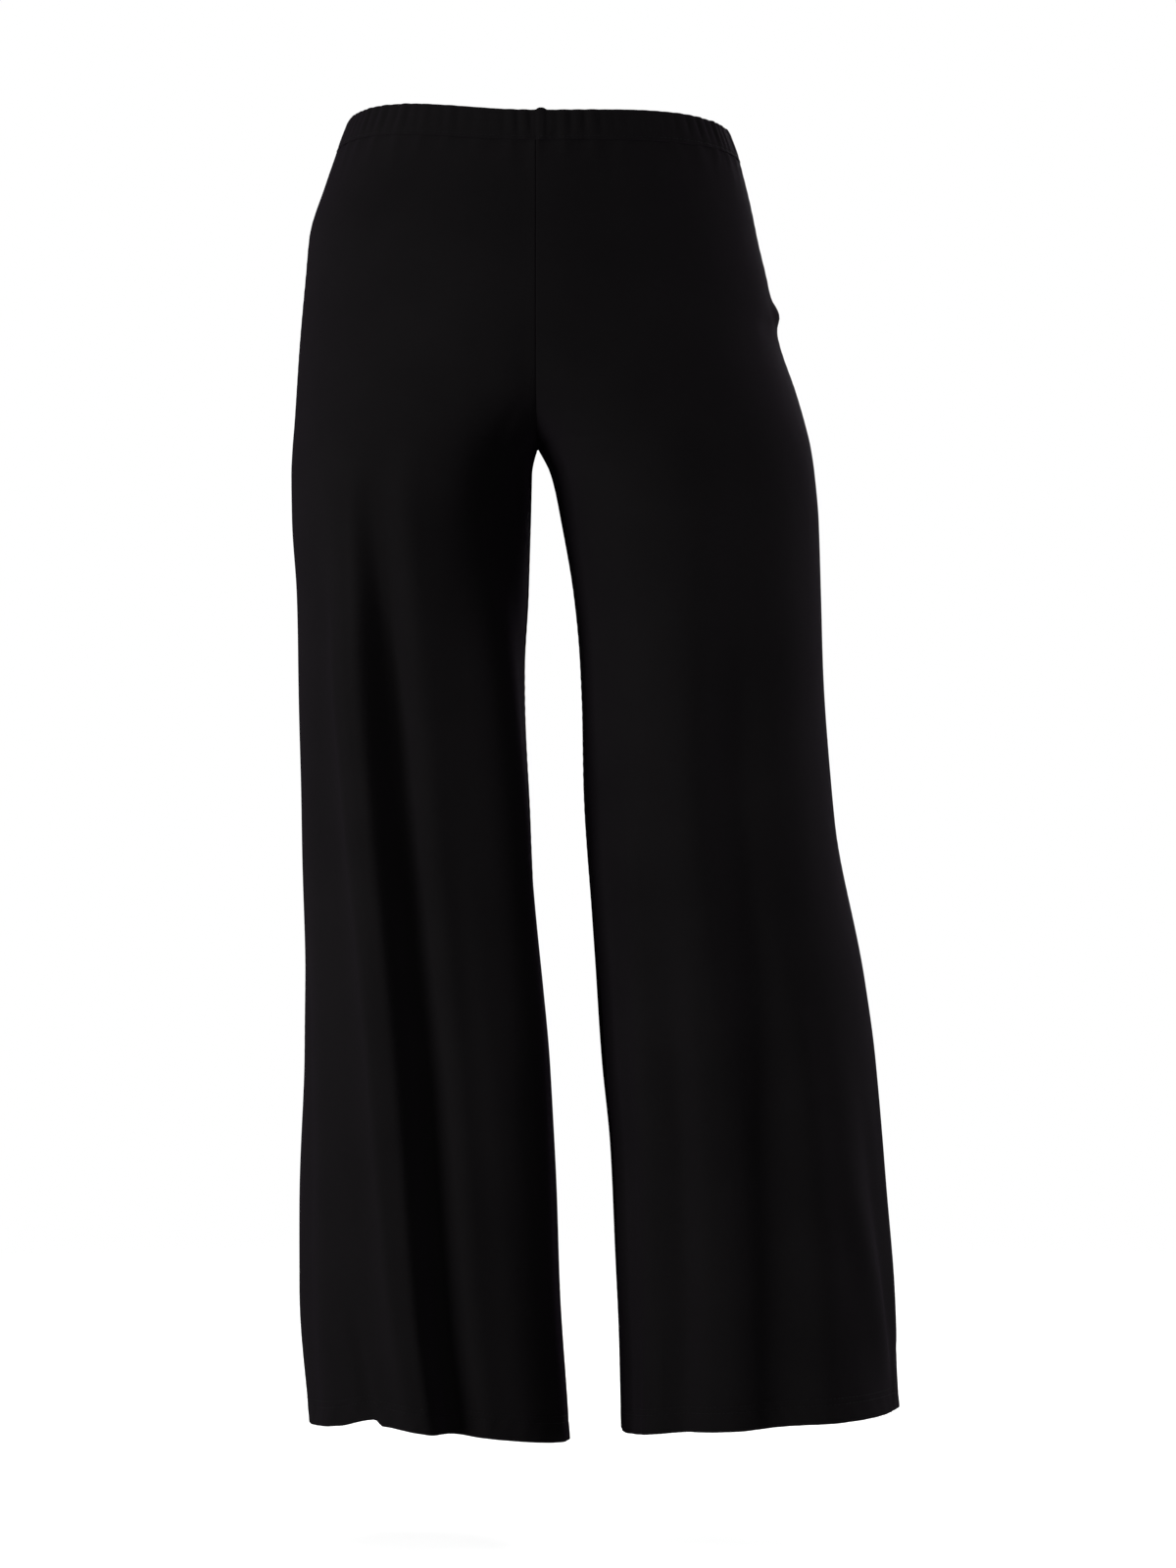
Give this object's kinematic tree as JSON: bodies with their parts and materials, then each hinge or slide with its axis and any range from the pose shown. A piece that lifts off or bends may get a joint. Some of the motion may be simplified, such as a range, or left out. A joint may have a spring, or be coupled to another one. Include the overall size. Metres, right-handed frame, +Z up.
{
  "type": "palazzo pants",
  "caption": "Pull-on wide-leg pants in black jersey with a gathered elastic waistband, in the hollow form they keep when worn.",
  "frame": {"origin": "the middle of the waist, on the middle plane and halfway from back to front, 13 mm below the top edge at the middle of the back and 14 mm above it at the middle of the front", "axes": "+Z up along the garment. The wearer faces -Y, so the back is at +Y and the wearer's left leg at +X."},
  "size_m": [0.4984, 0.2704, 1.0817],
  "materials": {
    "jersey": "black stretch jersey, matt with a faint soft sheen at grazing angles",
    "waistband": "the same black jersey, doubled over an elastic and drawn into small gathers",
    "thread": "black sewing thread, slightly shinier than the cloth"
  },
  "bodies": {
    "root": {"waistband": "waistband", "back_left": "jersey", "front_left": "jersey", "back_right": "jersey", "front_right": "jersey"}
  },
  "joints": []
}
